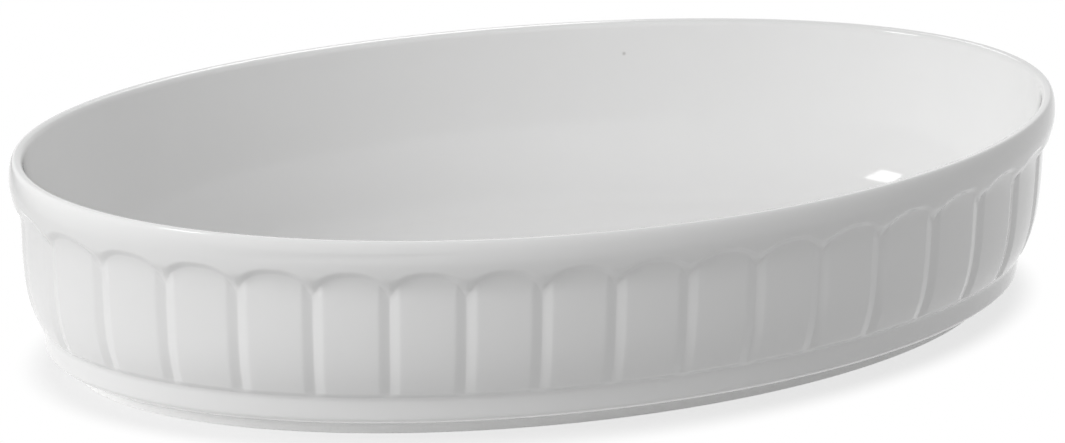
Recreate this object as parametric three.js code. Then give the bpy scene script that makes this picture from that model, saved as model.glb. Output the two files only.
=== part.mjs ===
// An oval baking dish of white glazed porcelain, in millimetres, +Z up.
// The origin is the middle of the base, on the surface that the dish stands on. +X runs along its length.
// One cast body has an arcade of arched panels round its outside. Thin coats of glaze cover its outside,
// its inside and its underside, and the foot ring that it stands on is left bare.
import * as THREE from "three";

// Overall sizes, measured over the glaze.
const halfLength = 170; // at the widest level of the rim
const halfWidth = 98.3;
const rimHeight = 68; // mean height of the lip's crest
const rimWave = 1; // the lip is this much higher at both ends, and lower at the middle of the long sides

// Thicknesses.
const glazeThickness = 0.4;
const lipThickness = 4.6;
const floorThickness = 5.1;

// Rim band: the plain strip between the lip and the arches.
const crestInset = 2; // the lip's crest lies this far inside the widest level
const lipInnerDrop = 1.4; // from the crest down to the lip's inner edge
const rimBulgeDrop = 6.5; // the widest level lies this far below the lip's crest
const rimBandHeight = 16; // from the lip's crest down to the cusps between the arches
const rimBandLean = 1.95; // the band's lower edge lies this far inside the widest level
const rimBandBow = 1.4; // the lean grows downwards with this power

// Arcade: arched panels, slightly pillowed, with a V groove between each two.
const panelCount = 38;
const archRise = 5.6; // from cusp to apex
const archFullness = 2.7; // the arch's power; with 2 it would be a parabola
const archStep = 0.95; // the panels lie this far behind the rim band
const archStepHeight = 1.7; // the step's slope from rim band to panel
const cuspSoftness = 1.8; // the step reaches this much further up and down at the cusps
const panelLean = 5.2; // the panels' lower end lies this far inside their upper end
const panelBow = 4; // the lean grows downwards with this power
const grooveDepth = 0.7;
const shoulderDrop = 0.05; // the panel's face at the groove's edge, behind its crown
const grooveShare = 0.14; // half the groove's width, as a share of a panel's width

// Base: the chamfer at the panels' foot, the upright band below it, and its rounded heel.
const chamferDepth = 0.6;
const chamferHeight = 1.2;
const bandHeight = 6.4;
const bandLean = 0.2; // the band's lower edge lies this far inside its upper edge
const heelRun = 7; // the heel is a quarter of an ellipse, this far in
const heelRise = 3.6; // and this high

// Foot ring.
const footHeight = 5.4; // from the table to the glazed underside
const footSetback = 7.1; // from the band's lower edge in to the ring
const footWidth = 5.6;
const footTaper = 0.9; // the ring is this much narrower on each side where it stands

// Inside: a leaning wall that rounds into the floor.
const wallLean = 5.5;
const wallBow = 0.8; // the lean grows downwards with this power
const cornerRun = 26; // the rounding takes up this much more of the floor
const cornerFullness = 3; // the rounding's power; with 2 it would be a quarter of an ellipse

// Fineness of the curves.
const panelRows = [0, 0.12, 0.3, 0.55, 1]; // levels on a panel, as shares of its height
const arcDivisions = 4000; // steps along the oval for measuring its length
const heelSteps = 4;
const lipSteps = 3; // on each half of the lip
const wallSteps = 9;

// Insets of the profile: distances inside the oval of the rim's widest level.
const panelTopInset = rimBandLean + archStep;
const bandTopInset = panelTopInset + panelLean + chamferDepth;
const bandBottomInset = bandTopInset + bandLean;
const footOuterInset = bandBottomInset + footSetback;
const footInnerInset = footOuterInset + footWidth;
const heelEndInset = bandBottomInset + heelRun;

// Heights of the profile, from the table up.
const bandBottom = footHeight + heelRise;
const bandTop = bandBottom + bandHeight;
const chamferTop = bandTop + chamferHeight;
const cuspHeight = rimHeight - rimBandHeight;
const bulgeHeight = rimHeight - rimBulgeDrop;
const lipFoot = rimHeight - lipInnerDrop;
const floorTop = footHeight + floorThickness;

const point = (inset, height) => new THREE.Vector2(inset, height);

// Directions of the profile's arcs, as angles from its inset axis.
const inward = 0;
const upward = Math.PI / 2;
const outward = Math.PI;
const downward = 1.5 * Math.PI;

// The rim band's face leans in more and more downwards.
function rimInset(height) {
  return rimBandLean * ((bulgeHeight - height) / (bulgeHeight - cuspHeight)) ** rimBandBow;
}

// The panel's face follows the rim band above the cusps, and leans in towards its foot below them.
function panelInset(height) {
  if (height > cuspHeight) return rimInset(height) + archStep;
  return panelTopInset + panelLean * ((cuspHeight - height) / (cuspHeight - bandTop)) ** panelBow;
}

// How far the panel's face lies behind its crown, at a share of the panel's width.
function relief(share) {
  const fromGroove = Math.min(share, 1 - share);
  if (fromGroove < grooveShare / 2) return grooveDepth;
  return fromGroove < 0.5 ? shoulderDrop : 0;
}

// Height of the arch over a panel, from cusp to cusp.
function archHeight(share) {
  return cuspHeight + archRise * (1 - Math.abs(1 - 2 * share) ** archFullness);
}

// Half the height of the step under an arch. It is drawn out at the cusps.
function stepHalf(share) {
  return archStepHeight / 2 + (share === 0 ? cuspSoftness : 0);
}

// The outside from the foot ring up to the lip's crest, at a share of a panel's width.
function outsideProfile(share) {
  const heel = new THREE.EllipseCurve(heelEndInset, bandBottom, heelRun, heelRise, downward, outward, true);
  const panelTop = archHeight(share) - stepHalf(share);
  const panel = panelRows.map((rise) => {
    const height = chamferTop + rise * (panelTop - chamferTop);
    return point(panelInset(height) + relief(share), height);
  });
  const rimFoot = archHeight(share) + stepHalf(share);
  const lip = new THREE.EllipseCurve(crestInset, bulgeHeight, crestInset, rimBulgeDrop, outward, upward, true);
  return [
    point(footOuterInset, footHeight),
    ...heel.getPoints(heelSteps),
    point(bandTopInset, bandTop),
    ...panel,
    point(rimInset(rimFoot), rimFoot),
    ...lip.getPoints(lipSteps),
  ];
}

// The inside from the lip's crest down to the edge of the flat floor.
function insideProfile() {
  const innerRun = lipThickness - crestInset;
  const innerLip = new THREE.EllipseCurve(crestInset, lipFoot, innerRun, lipInnerDrop, upward, inward, true);
  const wall = [];
  for (let i = 1; i <= wallSteps; i++) {
    const turn = (i / wallSteps) * (Math.PI / 2);
    const depth = Math.sin(turn) ** (2 / cornerFullness);
    const rounding = 1 - Math.cos(turn) ** (2 / cornerFullness);
    const inset = lipThickness + wallLean * depth ** wallBow + cornerRun * rounding;
    wall.push(point(inset, lipFoot + (floorTop - lipFoot) * depth));
  }
  return [...innerLip.getPoints(lipSteps), ...wall];
}

// The clay's profile under a coat: each point moved in, square to the profile, by the coat's thickness.
// The first and the last point move straight up or down, so that the coats meet there.
function underCoat(profile) {
  return profile.map((here, i) => {
    const before = profile[i - 1] ?? here;
    const after = profile[i + 1] ?? here;
    const along = after.clone().sub(before).normalize();
    const square = point(-along.y, along.x);
    if (i === 0 || i === profile.length - 1) square.set(0, Math.sign(square.y));
    return here.clone().addScaledVector(square, -glazeThickness);
  });
}

// Columns round the oval, four to a panel: groove, shoulder, crown and shoulder.
// The panels are equally wide, measured along the rim.
const oval = new THREE.EllipseCurve(0, 0, halfLength, halfWidth);
oval.arcLengthDivisions = arcDivisions;
const columns = [];
for (let panel = 0; panel < panelCount; panel++) {
  for (const share of [0, grooveShare, 0.5, 1 - grooveShare]) {
    const angle = oval.getUtoTmapping((panel + share) / panelCount) * 2 * Math.PI;
    const normal = point(Math.cos(angle) / halfLength, Math.sin(angle) / halfWidth).normalize();
    const edge = point(halfLength * Math.cos(angle), halfWidth * Math.sin(angle));
    columns.push({ share, angle, normal, edge });
  }
}
const coarseColumns = columns.filter((column, i) => i % 2 === 0);

// A profile's point at one column of the oval. The rim's gentle wave fades out down to the floor's level.
function place(column, { x: inset, y: height }) {
  const flat = column.edge.clone().addScaledVector(column.normal, -inset);
  const above = Math.max(0, (height - floorTop) / (rimHeight - floorTop));
  const wave = rimWave * Math.cos(2 * column.angle) * above ** 2;
  return new THREE.Vector3(flat.x, flat.y, height + wave);
}

// One ring of the oval for each point of a profile that is the same all round, or that follows the panels.
function ringsOf(ringColumns, profileAt) {
  const placed = ringColumns.map((column) => profileAt(column.share).map((at) => place(column, at)));
  return placed[0].map((first, row) => placed.map((line) => line[row]));
}

// Triangles between two rings. One ring may have twice the other's points, or be a single point.
function strip(lower, upper) {
  const triangles = [];
  const at = (ring, i) => ring[i % ring.length];
  const steps = Math.max(lower.length, upper.length);
  const lowerStep = lower.length / steps;
  const upperStep = upper.length / steps;
  for (let i = 0; i < steps; i++) {
    const a = at(lower, Math.floor(i * lowerStep));
    const b = at(lower, Math.floor((i + 1) * lowerStep));
    const c = at(upper, Math.ceil((i + 1) * upperStep));
    const d = at(upper, Math.ceil(i * upperStep));
    if (a !== b && lower.length > 1) triangles.push([a, b, c]);
    if (c !== d && upper.length > 1) triangles.push([a, c, d]);
  }
  return triangles;
}

// The surface over rings in order, and the same surface seen from its other side.
const skin = (rings) => rings.slice(1).flatMap((ring, i) => strip(rings[i], ring));
const flipped = (triangles) => triangles.map(([a, b, c]) => [a, c, b]);

// Rings of the glazed surfaces and of the clay under them.
const middle = (height) => [new THREE.Vector3(0, 0, height)];
const insideCoat = insideProfile();
const insideClay = underCoat(insideCoat);
const outsideRings = ringsOf(columns, outsideProfile);
const outsideClayRings = ringsOf(columns, (share) => underCoat(outsideProfile(share)));
const crestRing = outsideRings.at(-1);
const crestClayRing = outsideClayRings.at(-1);
const insideRings = [crestRing, ...ringsOf(coarseColumns, () => insideCoat.slice(1)), middle(floorTop)];
const insideClayRings = [
  crestClayRing,
  ...ringsOf(coarseColumns, () => insideClay.slice(1)),
  middle(floorTop - glazeThickness),
];
const clayUnderside = footHeight + glazeThickness;
const footRings = ringsOf(coarseColumns, () => [
  point(footOuterInset + footTaper, 0),
  point(footOuterInset, clayUnderside),
  point(footInnerInset, clayUnderside),
  point(footInnerInset - footTaper, 0),
]);
const undersideRings = [
  middle(footHeight),
  ...ringsOf(coarseColumns, () => [point(footInnerInset, footHeight), point(footInnerInset, clayUnderside)]),
  middle(clayUnderside),
];

// Materials.
const glazeMaterial = new THREE.MeshStandardMaterial({ color: 0xf0f0ee, roughness: 0.12, metalness: 0 });
const clayMaterial = new THREE.MeshStandardMaterial({ color: 0xeeebe4, roughness: 0.75, metalness: 0 });

function piece(name, triangles, material) {
  const geometry = new THREE.BufferGeometry().setFromPoints(triangles.flat());
  geometry.computeVertexNormals();
  const mesh = new THREE.Mesh(geometry, material);
  mesh.name = name;
  return mesh;
}

const dish = new THREE.Group();
dish.name = "oval_baking_dish";

// The clay body, from the middle of its underside, out over the foot, up the outside, over the lip
// and down to the middle of the floor.
const clayRings = [
  middle(clayUnderside),
  ...ringsOf(coarseColumns, () => [point(footInnerInset, clayUnderside)]),
  ...outsideClayRings,
  ...insideClayRings.slice(1),
];
dish.add(piece("porcelain_body", skin(clayRings), clayMaterial));

dish.add(piece("foot_ring", skin([...footRings, footRings[0]]), clayMaterial));

// The outside coat ends at the foot ring below and meets the inside coat on the lip's crest.
const outsideCoat = [
  ...skin([outsideClayRings[0], ...outsideRings, crestClayRing]),
  ...flipped(skin(outsideClayRings)),
];
dish.add(piece("outside_glaze", outsideCoat, glazeMaterial));

const insideCoatSkin = [...skin([crestClayRing, ...insideRings]), ...flipped(skin(insideClayRings))];
dish.add(piece("inside_glaze", insideCoatSkin, glazeMaterial));

dish.add(piece("underside_glaze", skin(undersideRings), glazeMaterial));

export default dish;
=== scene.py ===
"""An oval baking dish of white glazed porcelain in soft studio light, on a plain pale floor.

The glazed body is one continuous skin swept round the oval: outside with its arcade of arched panels,
lip, inside and underside. The bare foot ring is a piece of its own. Lengths are in metres.
"""
import math

import bpy
import numpy as np
from mathutils import Matrix, Vector


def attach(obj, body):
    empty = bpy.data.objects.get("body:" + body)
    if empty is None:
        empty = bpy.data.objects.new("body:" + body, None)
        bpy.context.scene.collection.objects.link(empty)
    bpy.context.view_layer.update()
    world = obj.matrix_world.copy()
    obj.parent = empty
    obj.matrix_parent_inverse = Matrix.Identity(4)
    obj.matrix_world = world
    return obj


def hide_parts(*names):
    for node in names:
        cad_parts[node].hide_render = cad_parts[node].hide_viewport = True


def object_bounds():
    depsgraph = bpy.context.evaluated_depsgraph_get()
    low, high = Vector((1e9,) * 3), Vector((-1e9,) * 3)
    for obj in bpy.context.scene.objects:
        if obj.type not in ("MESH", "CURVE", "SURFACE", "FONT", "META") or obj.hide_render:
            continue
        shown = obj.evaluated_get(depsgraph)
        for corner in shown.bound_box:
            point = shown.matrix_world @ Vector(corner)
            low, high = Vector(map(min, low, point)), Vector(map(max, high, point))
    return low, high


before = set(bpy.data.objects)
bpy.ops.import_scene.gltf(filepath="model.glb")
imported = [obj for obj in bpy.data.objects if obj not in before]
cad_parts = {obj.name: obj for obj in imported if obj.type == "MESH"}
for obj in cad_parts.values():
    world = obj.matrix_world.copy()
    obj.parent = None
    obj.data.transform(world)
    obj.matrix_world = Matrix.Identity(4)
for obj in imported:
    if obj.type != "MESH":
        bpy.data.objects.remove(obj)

cad_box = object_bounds()
mm = 0.001
quarter_turn = math.pi / 2

# Sizes from the frame.
cad_high = cad_box[1]
half_length = cad_high.x
half_width = cad_high.y

# The rim's height above the table at mid-wave, and the gentle wave that firing left in it.
rim_wave = 1.0 * mm
rim_height = cad_high.z - rim_wave

# Thicknesses.
lip_thickness = 4.6 * mm
floor_thickness = 5.1 * mm

# Lip: a broad shoulder, a flat inner bevel and a rounded inner edge.
crest_inset = 2.0 * mm
bulge_drop = 6.5 * mm
lip_bevel_run = 1.6 * mm
lip_bevel_drop = 0.34 * mm
lip_bevel_bow = 1.3
lip_edge_drop = 2.2 * mm

# Rim band: the plain strip between the lip and the arches. Its face runs on a little behind them.
rim_band_height = 16.0 * mm
rim_band_lean = 1.95 * mm
rim_band_bow = 1.4
rim_band_overrun = 1.2

# Arcade: arched panels with a shallow V groove between each two.
panel_count = 38
arch_rise = 5.6 * mm
arch_fullness = 2.7
arch_step = 1.05 * mm
arch_step_height = 2.4 * mm
arch_tip_soft = 1.2 * mm
arch_tip_reach = 1.3 * mm
cusp_dip_height = 5.0 * mm
panel_lean = 5.05 * mm
panel_bow = 4.0
groove_depth = 0.72 * mm
groove_share = 0.14
groove_valley_round = 0.22 * mm
groove_edge_round = 0.12 * mm
groove_run_out = 2.8 * mm
pillow = 0.05 * mm

# Base: the chamfer at the panels' foot, the upright band and its rounded heel.
chamfer_depth = 0.65 * mm
chamfer_height = 2.1 * mm
band_height = 6.4 * mm
band_lean = 0.2 * mm
heel_run = 7.0 * mm
heel_rise = 3.6 * mm

# Foot ring. Its top reaches a little way into the glazed body.
foot_height = 5.4 * mm
foot_setback = 7.7 * mm
foot_width = 5.0 * mm
foot_taper = 0.9 * mm
foot_edge_round = 0.7 * mm
foot_overlap = 0.4 * mm

# Inside: a leaning wall that rounds into the floor.
wall_lean = 5.5 * mm
wall_bow = 0.8
corner_run = 26.0 * mm
corner_fullness = 3.0

# Insets of the profile: distances inside the oval of the rim's widest level.
panel_top_inset = rim_band_lean + arch_step
band_top_inset = panel_top_inset + panel_lean + chamfer_depth
band_bottom_inset = band_top_inset + band_lean
foot_outer_inset = band_bottom_inset + foot_setback
foot_inner_inset = foot_outer_inset + foot_width
heel_end_inset = band_bottom_inset + heel_run

# Heights of the profile.
band_bottom = foot_height + heel_rise
band_top = band_bottom + band_height
cusp_height = rim_height - rim_band_height
bulge_height = rim_height - bulge_drop
floor_top = foot_height + floor_thickness

# Columns in half a panel, as shares of its width, close together at the groove.
half_panel_columns = (0, 0.014, 0.035, 0.07, 0.105, 0.13, 0.15, 0.175, 0.22, 0.30, 0.40)
oval_samples = 40000

# Rows of each stretch of the profile.
heel_row_count = 15
band_row_count = 4
chamfer_row_count = 6
run_out_row_count = 3
panel_row_count = 13
step_row_count = 8
rim_row_count = 6
shoulder_row_count = 11
bevel_row_count = 4
edge_row_count = 6
inside_row_count = 26
foot_edge_row_count = 5

# Rings that close the floor and the underside, as shares of their outer ring.
floor_ring_shares = (0.94, 0.82, 0.6, 0.35, 0.12)
under_ring_shares = (0.12, 0.4, 0.7, 0.9)


# Columns round the oval

def oval_columns():
    """Angle, place, outward direction and share of a panel's width for each column, and that width.

    The panels are equally wide along the rim, and the columns crowd together at the grooves.
    """
    fine = np.linspace(0, 2 * math.pi, oval_samples + 1)
    edge = np.stack([half_length * np.cos(fine), half_width * np.sin(fine)], axis=1)
    run = np.concatenate([[0], np.cumsum(np.linalg.norm(np.diff(edge, axis=0), axis=1))])
    first_half = list(half_panel_columns)
    second_half = [1 - part for part in reversed(half_panel_columns[1:])]
    in_panel = first_half + [0.5] + second_half
    share = np.tile(in_panel, panel_count)
    panel = np.repeat(np.arange(panel_count), len(in_panel))
    angle = np.interp((panel + share) / panel_count * run[-1], run, fine)
    place = np.stack([half_length * np.cos(angle), half_width * np.sin(angle)], axis=1)
    outward = np.stack([np.cos(angle) / half_length, np.sin(angle) / half_width], axis=1)
    outward /= np.linalg.norm(outward, axis=1)[:, None]
    return angle, place, outward, share, run[-1] / panel_count


angle, oval_place, outward, share, panel_width = oval_columns()
column_count = len(angle)
from_groove = np.minimum(share, 1 - share) * panel_width
from_crown = np.abs(1 - 2 * share)


# Profile of the dish

def steps(start, end, count):
    """Even steps from start to end, without start itself."""
    return np.linspace(start, end, count + 1)[1:]


def smooth(t):
    """Eased from 0 to 1."""
    t = np.clip(t, 0, 1)
    return t * t * (3 - 2 * t)


def half_smooth(t):
    """Eased half as much."""
    return (smooth(t) + t) / 2


def soft_above(value, soft):
    """The value where it is above zero and nothing below, with a rounded bend between."""
    return (value + np.sqrt(value ** 2 + soft ** 2)) / 2


def rim_inset(height):
    """The rim band's face, as if it ran down behind the arches."""
    below = np.clip((bulge_height - height) / (bulge_height - cusp_height), 0, rim_band_overrun)
    return rim_band_lean * below ** rim_band_bow


def panel_inset(height):
    """The panels' face at its crown: upright at the top, leaning in below, chamfered at its foot."""
    below = np.clip((cusp_height - height) / (cusp_height - band_top), 0, 1)
    arched = np.minimum(rim_inset(height), rim_band_lean) - rim_band_lean
    into_chamfer = np.clip(1 - (height - band_top) / chamfer_height, 0, 1)
    chamfer = chamfer_depth * half_smooth(into_chamfer)
    return panel_top_inset + panel_lean * below ** panel_bow + arched + chamfer


def relief():
    """How far each column's panel face lies behind its crown: the groove and the pillowed face."""
    groove_half = groove_share * panel_width
    valley = np.sqrt(from_groove ** 2 + groove_valley_round ** 2)
    groove = soft_above(groove_half - valley, groove_edge_round) * groove_depth / groove_half
    return groove + pillow * from_crown ** 2


def arch_height():
    """Height of the arch at each column, from cusp to cusp."""
    return cusp_height + arch_rise * (1 - from_crown ** arch_fullness)


def arch_step_half():
    """Half the step's height at each column. It grows where the arch is steep, and at the cusps."""
    slope = 2 * arch_rise * arch_fullness * from_crown ** (arch_fullness - 1) / panel_width
    even = arch_step_height / 2 * np.sqrt(1 + slope ** 2)
    return even + arch_tip_soft * np.exp(-(from_groove / arch_tip_reach) ** 2)


def cusp_dip(height, behind):
    """The groove runs out upwards in the tip of rim band between two arches."""
    return behind * (1 - smooth((height - cusp_height) / cusp_dip_height))


def even_row(inset, height):
    """A row that is the same all round."""
    return np.full(column_count, inset), np.full(column_count, height)


def heel_rows():
    """From the foot ring out over the underside and the rounded heel to the band's lower edge."""
    rows = [even_row(foot_outer_inset, foot_height)]
    for turn in np.linspace(quarter_turn, 0, heel_row_count):
        rows.append(even_row(
            heel_end_inset - heel_run * math.cos(turn),
            band_bottom - heel_rise * math.sin(turn),
        ))
    return rows


def band_rows():
    """Up the base band to the foot of the panels."""
    rows = []
    for t in steps(0, 1, band_row_count):
        rows.append(even_row(
            band_bottom_inset + (band_top_inset - band_bottom_inset) * t,
            band_bottom + band_height * t,
        ))
    return rows


def panel_rows():
    """Up the panels to the arches, over the arches' step and up the rim band to its widest level."""
    rows = []
    behind = relief()
    step_half = arch_step_half()
    step_foot = arch_height() - step_half
    step_top = arch_height() + step_half
    chamfer_top = np.full(column_count, band_top + chamfer_height)
    run_out_top = np.full(column_count, band_top + groove_run_out)
    levels = [band_top + (chamfer_top - band_top) * t for t in steps(0, 1, chamfer_row_count)]
    levels += [chamfer_top + (run_out_top - chamfer_top) * t for t in steps(0, 1, run_out_row_count)]
    levels += [run_out_top + (step_foot - run_out_top) * t for t in steps(0, 1, panel_row_count)]
    for height in levels:
        cut = behind * smooth((height - band_top) / groove_run_out)
        rows.append((panel_inset(height) + cut, height))
    for t in steps(0, 1, step_row_count):
        height = step_foot + 2 * step_half * t
        face = panel_inset(height) + behind
        rim = rim_inset(height) + cusp_dip(height, behind)
        rows.append((face + (rim - face) * half_smooth(t), height))
    for t in steps(0, 1, rim_row_count):
        height = step_top + (bulge_height - step_top) * t
        rows.append((rim_inset(height) + cusp_dip(height, behind), height))
    return rows


def lip_rows():
    """From the widest level over the lip's shoulder, its flat inner bevel and its rounded inner edge."""
    rows = []
    for turn in steps(0, quarter_turn, shoulder_row_count):
        rows.append(even_row(
            crest_inset * (1 - math.cos(turn)),
            bulge_height + bulge_drop * math.sin(turn),
        ))
    for t in steps(0, 1, bevel_row_count):
        rows.append(even_row(
            crest_inset + lip_bevel_run * t,
            rim_height - lip_bevel_drop * t ** lip_bevel_bow,
        ))
    bevel_end = crest_inset + lip_bevel_run
    edge_start = math.atan(lip_bevel_bow * lip_bevel_drop / lip_bevel_run)
    for turn in steps(edge_start, quarter_turn, edge_row_count):
        across = (math.sin(turn) - math.sin(edge_start)) / (1 - math.sin(edge_start))
        down = 1 - math.cos(turn) / math.cos(edge_start)
        rows.append(even_row(
            bevel_end + (lip_thickness - bevel_end) * across,
            rim_height - lip_bevel_drop - lip_edge_drop * down,
        ))
    return rows


def inside_rows():
    """Down the leaning inside wall and round into the flat floor, without a bend."""
    rows = []
    lip_foot = rim_height - lip_bevel_drop - lip_edge_drop
    for turn in steps(0, quarter_turn, inside_row_count):
        depth = math.sin(turn) ** (2 / corner_fullness)
        rounding = 1 - max(math.cos(turn), 0) ** (2 / corner_fullness)
        inset = lip_thickness + wall_lean * depth ** wall_bow + corner_run * rounding
        rows.append(even_row(inset, lip_foot + (floor_top - lip_foot) * depth))
    return rows


def placed(inset, height):
    """A row's points on the oval, with the rim's wave, which fades out down to the floor's level."""
    flat = oval_place - outward * np.asarray(inset)[:, None]
    above = np.clip((height - floor_top) / (rim_height - floor_top), 0, None)
    wave = rim_wave * np.cos(2 * angle) * above ** 2
    return np.column_stack([flat, height + wave])


# Meshes

def shrinking_rings(ring, shares, height):
    """Copies of a ring drawn towards the middle, at one height."""
    rings = []
    for part in shares:
        drawn = ring * part
        drawn[:, 2] = height
        rings.append(drawn)
    return rings


def swept_mesh(name, rings, closed_ends):
    """A mesh over rings in order.

    Its ends are closed by fans to a middle point, or else the last ring joins the first.
    """
    size = len(rings[0])
    points = np.concatenate(rings)
    here = np.arange(size)
    after = (here + 1) % size
    quads = []
    pairs = len(rings) - 1 if closed_ends else len(rings)
    for row in range(pairs):
        lower = row * size
        upper = (row + 1) % len(rings) * size
        quads.append(np.column_stack([lower + here, lower + after, upper + after, upper + here]))
    faces = np.concatenate(quads).tolist()
    if closed_ends:
        first = len(points)
        last = first + 1
        middles = np.array([[0, 0, rings[0][0, 2]], [0, 0, rings[-1][0, 2]]])
        points = np.concatenate([points, middles])
        top = (len(rings) - 1) * size
        faces += np.column_stack([np.full(size, first), after, here]).tolist()
        faces += np.column_stack([np.full(size, last), top + here, top + after]).tolist()
    mesh = bpy.data.meshes.new(name)
    mesh.from_pydata(points.tolist(), [], faces)
    mesh.validate()
    mesh.shade_smooth()
    made = bpy.data.objects.new(name, mesh)
    bpy.context.scene.collection.objects.link(made)
    return made


def glazed_body():
    """The whole glazed skin: underside, outside, lip and inside."""
    profile = heel_rows() + band_rows() + panel_rows() + lip_rows() + inside_rows()
    rings = [placed(inset, height) for inset, height in profile]
    floor_rings = shrinking_rings(rings[-1], floor_ring_shares, floor_top)
    under_ring = placed(*even_row(foot_inner_inset, foot_height))
    under_rings = shrinking_rings(under_ring, under_ring_shares, foot_height)
    return swept_mesh("glazed_body", under_rings + [under_ring] + rings + floor_rings, True)


def bare_foot():
    """The bare ring that the dish stands on, with its worn edges rounded."""
    top = foot_height + foot_overlap
    outer_low = foot_outer_inset + foot_taper
    inner_low = foot_inner_inset - foot_taper
    outline = [(foot_outer_inset, top), (foot_outer_inset + foot_taper / 2, top / 2)]
    for turn in np.linspace(0, quarter_turn, foot_edge_row_count):
        outline.append((
            outer_low + foot_edge_round * (1 - math.cos(turn)),
            foot_edge_round * (1 - math.sin(turn)),
        ))
    for turn in np.linspace(quarter_turn, 0, foot_edge_row_count):
        outline.append((
            inner_low - foot_edge_round * (1 - math.cos(turn)),
            foot_edge_round * (1 - math.sin(turn)),
        ))
    outline += [(foot_inner_inset - foot_taper / 2, top / 2), (foot_inner_inset, top)]
    rings = [placed(*even_row(inset, height)) for inset, height in reversed(outline)]
    return swept_mesh("bare_foot", rings, False)


body_piece = glazed_body()
foot_piece = bare_foot()


# Nodes

white = (1, 1, 1, 1)


def new_material(name):
    """A material with an empty node tree."""
    material = bpy.data.materials.new(name)
    material.use_nodes = True
    tree = material.node_tree
    tree.nodes.clear()
    return material, tree


def add(tree, kind, inputs=None, **settings):
    """A node with its settings and the values of its unlinked inputs."""
    made = tree.nodes.new(kind)
    for key, value in settings.items():
        setattr(made, key, value)
    for key, value in (inputs or {}).items():
        made.inputs[key].default_value = value
    return made


def fill_inputs(tree, node, values):
    """Gives a node its inputs in order, each a value or another node's output."""
    for socket, value in zip(node.inputs, values):
        if isinstance(value, bpy.types.NodeSocket):
            tree.links.new(value, socket)
        else:
            socket.default_value = value


def number(tree, operation, *values):
    """The result of an operation on numbers."""
    made = add(tree, "ShaderNodeMath", operation=operation)
    fill_inputs(tree, made, values)
    return made.outputs["Value"]


def vector(tree, operation, *values):
    """The node of an operation on vectors."""
    made = add(tree, "ShaderNodeVectorMath", operation=operation)
    fill_inputs(tree, made, values)
    return made


def ranged(tree, value, inputs, interpolation="LINEAR"):
    """A value carried from one range to another, both 0 to 1 where not given."""
    made = add(tree, "ShaderNodeMapRange", inputs, interpolation_type=interpolation)
    tree.links.new(value, made.inputs["Value"])
    return made.outputs["Result"]


def noise(tree, place, scale, detail):
    """Noise over a piece."""
    made = add(tree, "ShaderNodeTexNoise", {"Scale": scale, "Detail": detail})
    tree.links.new(place, made.inputs["Vector"])
    return made.outputs["Fac"]


def object_place(tree):
    """The place on an object, in metres."""
    return add(tree, "ShaderNodeTexCoord").outputs["Object"]


# Materials

# Glaze: its white drifts slowly over the body, and its gloss and ripple vary on a finer scale.
glaze_tones = {"A": (0.92, 0.92, 0.917, 1), "B": (0.945, 0.945, 0.942, 1)}
glaze_drift_scale = 16.0
glaze_drift_detail = 3.0
glaze_ior = 1.5
glaze_coat = 0.5
glaze_coat_roughness = 0.04
glaze_roughness = {"To Min": 0.06, "To Max": 0.11}
glaze_haze_scale = 55.0
glaze_ripple_scale = 90.0
glaze_fine_detail = 2.0
glaze_ripple_strength = 0.05
glaze_ripple_depth = 1.0 * mm

# One small grey speck on the inside of the far wall.
speck_place = (0.0573, 0.0864, 0.0564)
speck_radius = 1.0 * mm
speck_tone = (0.62, 0.61, 0.60, 1)

# Bare porcelain: one fine grain in its tone, roughness and surface.
biscuit_tones = {"A": (0.95, 0.95, 0.945, 1), "B": (0.975, 0.975, 0.97, 1)}
biscuit_ior = 1.45
biscuit_roughness = {"To Min": 0.28, "To Max": 0.42}
biscuit_grain_scale = 900.0
biscuit_grain_detail = 4.0
biscuit_grain_strength = 0.25
biscuit_grain_depth = 0.3 * mm


def piece_material(name, inputs):
    """A material, its tree, and its shader with these inputs."""
    material, tree = new_material(name)
    output = add(tree, "ShaderNodeOutputMaterial")
    shader = add(tree, "ShaderNodeBsdfPrincipled", inputs)
    tree.links.new(shader.outputs["BSDF"], output.inputs["Surface"])
    return material, tree, shader


def bumped(tree, shader, height, strength, depth):
    """Gives a shader a bump."""
    bump = add(tree, "ShaderNodeBump", {"Strength": strength, "Distance": depth})
    tree.links.new(height, bump.inputs["Height"])
    tree.links.new(bump.outputs["Normal"], shader.inputs["Normal"])


def glaze_material():
    """Glossy white glaze with a slow drift, a speck, varied gloss and a faint ripple."""
    material, tree, shader = piece_material("white_glaze", {
        "IOR": glaze_ior,
        "Coat Weight": glaze_coat,
        "Coat Roughness": glaze_coat_roughness,
        "Coat IOR": glaze_ior,
    })
    link = tree.links.new
    place = object_place(tree)
    tone = add(tree, "ShaderNodeMix", glaze_tones, data_type="RGBA")
    link(noise(tree, place, glaze_drift_scale, glaze_drift_detail), tone.inputs["Factor"])
    from_speck = vector(tree, "DISTANCE", place, speck_place).outputs["Value"]
    clear = ranged(tree, from_speck, {"From Max": speck_radius}, "SMOOTHSTEP")
    speckled = add(tree, "ShaderNodeMix", {"A": speck_tone}, data_type="RGBA")
    link(clear, speckled.inputs["Factor"])
    link(tone.outputs["Result"], speckled.inputs["B"])
    link(speckled.outputs["Result"], shader.inputs["Base Color"])
    haze = noise(tree, place, glaze_haze_scale, glaze_fine_detail)
    link(ranged(tree, haze, glaze_roughness), shader.inputs["Roughness"])
    ripple = noise(tree, place, glaze_ripple_scale, glaze_fine_detail)
    bumped(tree, shader, ripple, glaze_ripple_strength, glaze_ripple_depth)
    return material


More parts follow.
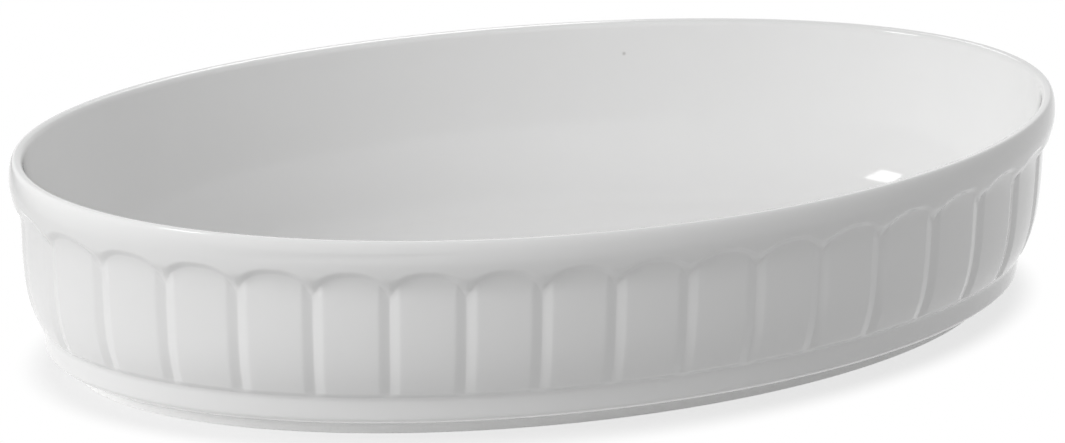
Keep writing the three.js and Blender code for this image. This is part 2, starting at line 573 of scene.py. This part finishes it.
def biscuit_material():
    """Bare fired clay with a fine grain."""
    material, tree, shader = piece_material("bare_porcelain", {"IOR": biscuit_ior})
    link = tree.links.new
    grain = noise(tree, object_place(tree), biscuit_grain_scale, biscuit_grain_detail)
    tone = add(tree, "ShaderNodeMix", biscuit_tones, data_type="RGBA")
    link(grain, tone.inputs["Factor"])
    link(tone.outputs["Result"], shader.inputs["Base Color"])
    link(ranged(tree, grain, biscuit_roughness), shader.inputs["Roughness"])
    bumped(tree, shader, grain, biscuit_grain_strength, biscuit_grain_depth)
    return material


body_piece.data.materials.append(glaze_material())
foot_piece.data.materials.append(biscuit_material())

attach(body_piece, "root")
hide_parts("porcelain_body", "outside_glaze", "inside_glaze", "underside_glaze")
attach(foot_piece, "root")
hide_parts("foot_ring")


# Floor and light

# Floor: its tone as it lights the dish, near and far, and how it is seen beside the dish.
floor_radius = 4.0
floor_sides = 96
floor_tone_near = 0.95
floor_tone_far = 0.5
floor_shade_tone = (0.16, 0.16, 0.16, 1)
floor_glow = 0.73
foot_oval = Vector((half_length - foot_outer_inset, half_width - foot_outer_inset, 1))
shadow_fade_start = 0.005
shadow_fade_end = 0.018

# Grey card beyond the left end, which only the glaze mirrors.
card_start = -0.17
card_end = -0.28
card_tone = 0.1

# World: even light, with more from overhead and from the front right.
ambient_level = 0.365
ambient_overhead = 0.12
ambient_fill = 0.18
fill_narrowness = 3.0
fill_azimuth = math.radians(70)
fill_direction = (math.sin(fill_azimuth), -math.cos(fill_azimuth), 0)

# How much greyer the world is mirrored overhead and on the left.
ceiling_dimming = 0.45
left_dimming = 0.9

# Lamps: place, width and height, and power in watts.
lamp_aim = Vector((0, 0, 0.04))
key_place = (-1.315, -0.27, 0.66)
key_size = (0.8, 0.6)
key_power = 10.1
window_place = (-1.04, -0.40, 1.2)
window_size = (0.26, 0.44)
window_power = 1.9
back_place = (0.75, 1.2, 0.45)
back_size = (0.6, 0.6)
back_power = 2.2
back_window_place = (0.3, 1.15, 1.1)
back_window_size = (0.36, 0.26)
back_window_power = 0.9


def mirror_rays(tree):
    """One for glossy and transmission rays."""
    path = add(tree, "ShaderNodeLightPath")
    return number(tree, "MAXIMUM", path.outputs["Is Glossy Ray"], path.outputs["Is Transmission Ray"])


def camera_rays(tree):
    """One for camera rays."""
    return add(tree, "ShaderNodeLightPath").outputs["Is Camera Ray"]


def mixed(tree, factor, first, second):
    """A shader mixed from two by a factor."""
    choice = add(tree, "ShaderNodeMixShader")
    fill_inputs(tree, choice, (factor, first, second))
    return choice.outputs["Shader"]


def away_from_dish(tree):
    """How far a point of the floor is from the dish's foot: 0 beside it, 1 where no shadow is left."""
    place = object_place(tree)
    from_middle = vector(tree, "LENGTH", place).outputs["Value"]
    in_feet = vector(tree, "DIVIDE", place, foot_oval).outputs["Vector"]
    times_foot = vector(tree, "LENGTH", in_feet).outputs["Value"]
    to_foot = number(tree, "DIVIDE", from_middle, times_foot)
    beyond = number(tree, "SUBTRACT", from_middle, to_foot)
    fade = {"From Min": shadow_fade_start, "From Max": shadow_fade_end}
    return ranged(tree, beyond, fade, "SMOOTHSTEP")


def seen_floor(tree, away):
    """The floor as the camera sees it: white but for the dish's shadow."""
    shaded = add(tree, "ShaderNodeBsdfDiffuse", {"Color": floor_shade_tone})
    glow = add(tree, "ShaderNodeEmission", {"Color": white, "Strength": floor_glow})
    near = add(tree, "ShaderNodeAddShader")
    fill_inputs(tree, near, (shaded.outputs["BSDF"], glow.outputs["Emission"]))
    plain_white = add(tree, "ShaderNodeEmission", {"Color": white, "Strength": 1.0})
    return mixed(tree, away, near.outputs["Shader"], plain_white.outputs["Emission"])


def mirrored_floor(tree):
    """The floor as the glaze mirrors it: white, with a grey card beyond the left end."""
    parts = add(tree, "ShaderNodeSeparateXYZ")
    tree.links.new(object_place(tree), parts.inputs["Vector"])
    card = {"From Min": card_end, "From Max": card_start, "To Min": card_tone}
    mirrored = add(tree, "ShaderNodeEmission", {"Color": white})
    tree.links.new(ranged(tree, parts.outputs["X"], card), mirrored.inputs["Strength"])
    return mirrored.outputs["Emission"]


def studio_floor():
    """A plain pale floor."""
    bpy.ops.mesh.primitive_circle_add(vertices=floor_sides, radius=floor_radius, fill_type="NGON")
    floor = bpy.context.object
    floor.name = "studio_floor"
    material, tree = new_material("studio_floor")
    output = add(tree, "ShaderNodeOutputMaterial")
    away = away_from_dish(tree)
    plain = add(tree, "ShaderNodeBsdfDiffuse")
    tone = ranged(tree, away, {"To Min": floor_tone_near, "To Max": floor_tone_far})
    tree.links.new(tone, plain.inputs["Color"])
    lit = mixed(tree, camera_rays(tree), plain.outputs["BSDF"], seen_floor(tree, away))
    surface = mixed(tree, mirror_rays(tree), lit, mirrored_floor(tree))
    tree.links.new(surface, output.inputs["Surface"])
    floor.data.materials.append(material)


def background(tree, strength):
    """A white background of a strength, which is a number or another node's output."""
    made = add(tree, "ShaderNodeBackground")
    fill_inputs(tree, made, (white, strength))
    return made.outputs["Background"]


def studio_world():
    """Soft light from all round, a little stronger from above and the front right.

    What is seen of it is white. Mirrored in the glaze, it is white on the right and greyer overhead
    and on the left.
    """
    world = bpy.data.worlds.new("studio")
    bpy.context.scene.world = world
    world.use_nodes = True
    tree = world.node_tree
    tree.nodes.clear()
    output = add(tree, "ShaderNodeOutputWorld")
    direction = add(tree, "ShaderNodeTexCoord").outputs["Generated"]
    parts = add(tree, "ShaderNodeSeparateXYZ")
    tree.links.new(direction, parts.inputs["Vector"])
    upward = number(tree, "MAXIMUM", parts.outputs["Z"], 0.0)
    overhead = number(tree, "MULTIPLY", upward, upward)
    level = number(tree, "MULTIPLY_ADD", overhead, ambient_overhead, ambient_level)
    towards_fill = vector(tree, "DOT_PRODUCT", direction, fill_direction).outputs["Value"]
    narrowed = number(tree, "POWER", number(tree, "MAXIMUM", towards_fill, 0.0), fill_narrowness)
    strength = number(tree, "MULTIPLY_ADD", narrowed, ambient_fill, level)
    seen = mixed(tree, camera_rays(tree), background(tree, strength), background(tree, 1.0))
    below_ceiling = number(tree, "MULTIPLY_ADD", overhead, -ceiling_dimming, 1.0)
    leftward = number(tree, "MINIMUM", parts.outputs["X"], 0.0)
    dimmed = number(tree, "MULTIPLY_ADD", leftward, left_dimming, below_ceiling)
    surface = mixed(tree, mirror_rays(tree), seen, background(tree, dimmed))
    tree.links.new(surface, output.inputs["Surface"])


def softbox(name, place, size, power, mirrored):
    """A rectangular lamp aimed at the dish. The glaze shows it only where it is mirrored."""
    lamp = bpy.data.lights.new(name, "AREA")
    lamp.shape = "RECTANGLE"
    lamp.size = size[0]
    lamp.size_y = size[1]
    lamp.energy = power
    made = bpy.data.objects.new(name, lamp)
    made.location = place
    made.rotation_euler = (lamp_aim - Vector(place)).to_track_quat("-Z", "Y").to_euler()
    made.visible_glossy = mirrored
    bpy.context.scene.collection.objects.link(made)


studio_floor()
studio_world()
softbox("key_softbox", key_place, key_size, key_power, False)
softbox("window", window_place, window_size, window_power, True)
softbox("back_softbox", back_place, back_size, back_power, False)
softbox("back_window", back_window_place, back_window_size, back_window_power, True)


# Camera, fitted to the photograph's rim, base and groove lines

image_width = 1065
focal_pixels = 3456.6
sensor_width = 36.0
camera_azimuth = math.radians(-18.92)
camera_elevation = math.radians(21.08)
camera_roll = math.radians(0.565)
camera_distance = 1.0955
camera_target = Vector((-0.00505, -0.0006, 0.0340))


def photo_camera():
    """The camera at the photograph's viewing angle."""
    back = Vector((
        math.sin(camera_azimuth) * math.cos(camera_elevation),
        -math.cos(camera_azimuth) * math.cos(camera_elevation),
        math.sin(camera_elevation),
    ))
    level = Vector((math.cos(camera_azimuth), math.sin(camera_azimuth), 0))
    upright = back.cross(level)
    right = level * math.cos(camera_roll) + upright * math.sin(camera_roll)
    up = upright * math.cos(camera_roll) - level * math.sin(camera_roll)
    data = bpy.data.cameras.new("photo_camera")
    data.sensor_width = sensor_width
    data.lens = focal_pixels / image_width * sensor_width
    made = bpy.data.objects.new("photo_camera", data)
    turn = Matrix((right, up, back)).transposed().to_4x4()
    made.matrix_world = Matrix.Translation(camera_target + back * camera_distance) @ turn
    bpy.context.scene.collection.objects.link(made)
    bpy.context.scene.camera = made


photo_camera()
bpy.context.scene.view_settings.view_transform = "Standard"
